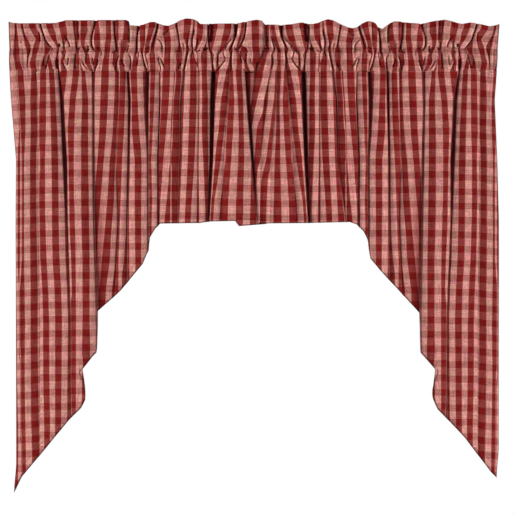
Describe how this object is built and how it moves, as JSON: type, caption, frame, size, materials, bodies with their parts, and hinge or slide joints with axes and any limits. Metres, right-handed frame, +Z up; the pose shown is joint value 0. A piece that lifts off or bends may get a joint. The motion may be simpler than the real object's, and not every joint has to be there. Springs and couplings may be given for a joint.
{
  "type": "gathered swag valance",
  "caption": "Pair of gathered checked cotton swags with a ruffled rod-pocket heading, short at the centre and running out to long pointed tails.",
  "frame": {"origin": "middle of the top edge of the ruffle, where the two swags meet", "axes": "+X along the heading from the left swag to the right one, +Y back towards the window, +Z up"},
  "size_m": [0.952, 0.0378, 0.918],
  "materials": {
    "heading_cloth": "matt woven cotton in a red and pink check",
    "panel_cloth": "matt woven cotton in a red and pink check"
  },
  "bodies": {
    "root": {"left_heading": "heading_cloth", "right_heading": "heading_cloth", "left_panel": "panel_cloth", "right_panel": "panel_cloth"}
  },
  "joints": []
}
